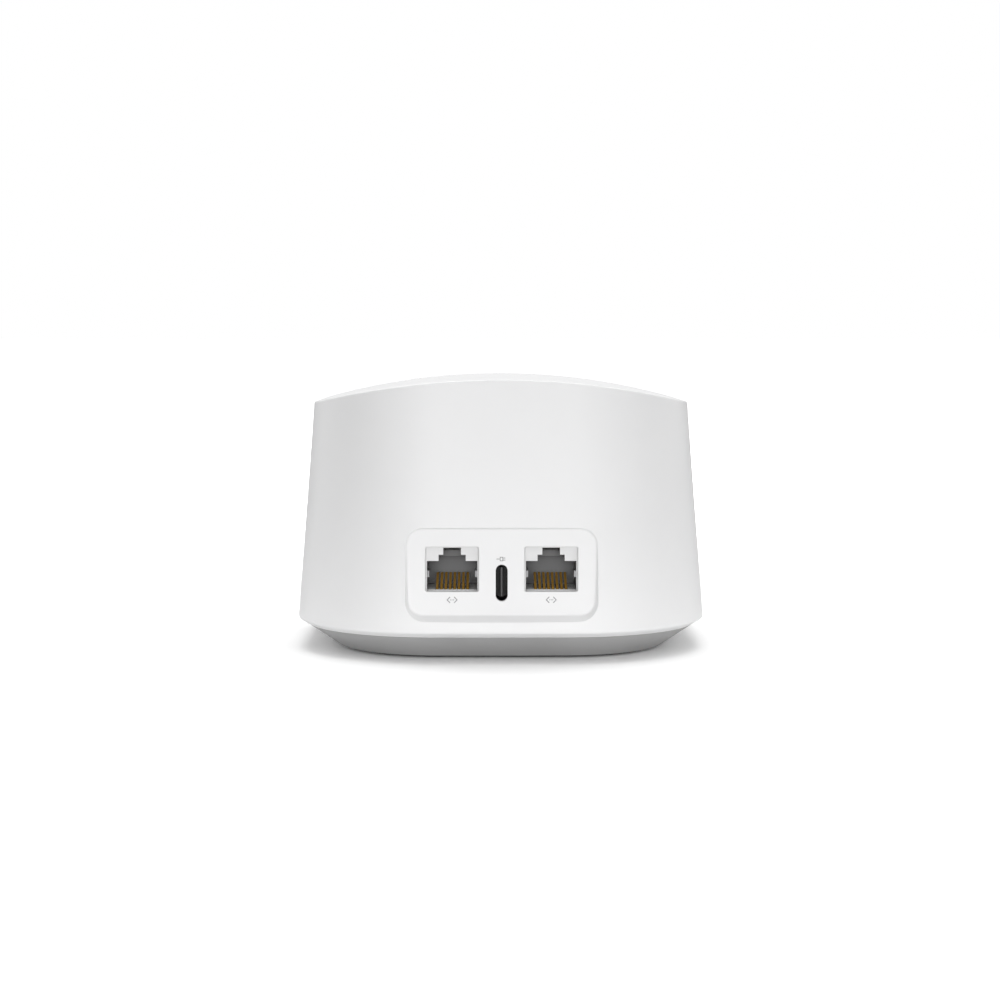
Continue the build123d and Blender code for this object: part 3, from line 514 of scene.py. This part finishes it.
def white_paper(name):
    """Studio paper, brighter to the eye than the light that it throws back onto the node."""
    mat, tree, shader = new_material(name)
    shader.inputs["Roughness"].default_value = 0.9
    shader.inputs["Specular IOR Level"].default_value = 0.0
    seen = tree.nodes.new("ShaderNodeLightPath")
    where = tree.nodes.new("ShaderNodeTexCoord")
    reach = tree.nodes.new("ShaderNodeVectorMath")
    reach.operation = "LENGTH"
    tree.links.new(where.outputs["Object"], reach.inputs[0])
    paper = tree.nodes.new("ShaderNodeMix")
    paper.data_type = "RGBA"
    tree.links.new(seen.outputs["Is Camera Ray"], paper.inputs["Factor"])
    tree.links.new(span(tree, reach.outputs["Value"], **PAPER_BOUNCE), paper.inputs[COLOUR_A])
    # far from the node the paper brightens, so that its edge never shows against the background
    tree.links.new(span(tree, reach.outputs["Value"], **PAPER_LOOK), paper.inputs[COLOUR_B])
    tree.links.new(paper.outputs[COLOUR_OUT], shader.inputs["Base Color"])

    # clear from beneath and under the foot ring, so that the underside can be lit and seen
    facing = tree.nodes.new("ShaderNodeNewGeometry")
    clear = tree.nodes.new("ShaderNodeBsdfTransparent")
    covered = under_foot(tree, where.outputs["Object"])
    hidden = arithmetic(tree, "MAXIMUM", covered, facing.outputs["Backfacing"])
    one_sided = tree.nodes.new("ShaderNodeMixShader")
    tree.links.new(hidden, one_sided.inputs["Fac"])
    tree.links.new(shader.outputs["BSDF"], one_sided.inputs[1])
    tree.links.new(clear.outputs["BSDF"], one_sided.inputs[2])
    tree.links.new(one_sided.outputs["Shader"], tree.nodes["Material Output"].inputs["Surface"])
    return mat


corners = [(-1, -1), (1, -1), (1, 1), (-1, 1)]
floor_mesh = bpy.data.meshes.new("floor")
floor_mesh.from_pydata([(x * FLOOR_HALF, y * FLOOR_HALF, 0) for x, y in corners], [], [(0, 1, 2, 3)])
floor_mesh.materials.append(white_paper("floor_white"))
floor = bpy.data.objects.new("floor", floor_mesh)
scene.collection.objects.link(floor)
floor.location.z = -FLOOR_GAP

world = bpy.data.worlds.new("studio")
scene.world = world
world.use_nodes = True
sky = world.node_tree
background = sky.nodes["Background"]
direction = sky.nodes.new("ShaderNodeTexCoord")
split = sky.nodes.new("ShaderNodeSeparateXYZ")
sky.links.new(direction.outputs["Generated"], split.inputs["Vector"])
overhead = span(sky, split.outputs["Z"], **SKY)
# below the horizon the studio is bright, which only the underside sees
below = span(sky, split.outputs["Z"], UNDER_LIGHT, 0.0, start=-0.5, end=-0.2)
paths = sky.nodes.new("ShaderNodeLightPath")
pick = sky.nodes.new("ShaderNodeMix")
sky.links.new(paths.outputs["Is Camera Ray"], pick.inputs["Factor"])
sky.links.new(arithmetic(sky, "MAXIMUM", overhead, below), pick.inputs["A"])
pick.inputs["B"].default_value = 1.0
sky.links.new(pick.outputs["Result"], background.inputs["Strength"])
background.inputs["Color"].default_value = (1, 1, 1, 1)


def softbox(name, place, size, watts):
    lamp = bpy.data.lights.new(name, "AREA")
    lamp.shape = "RECTANGLE"
    lamp.size, lamp.size_y = size
    lamp.energy = watts
    holder = bpy.data.objects.new(name, lamp)
    scene.collection.objects.link(holder)
    holder.location = place
    holder.rotation_euler = (Vector(LAMP_AIM) - Vector(place)).to_track_quat("-Z", "Y").to_euler()


for lamp_name, (place, size, watts) in SOFTBOXES.items():
    softbox(lamp_name, place, size, watts)
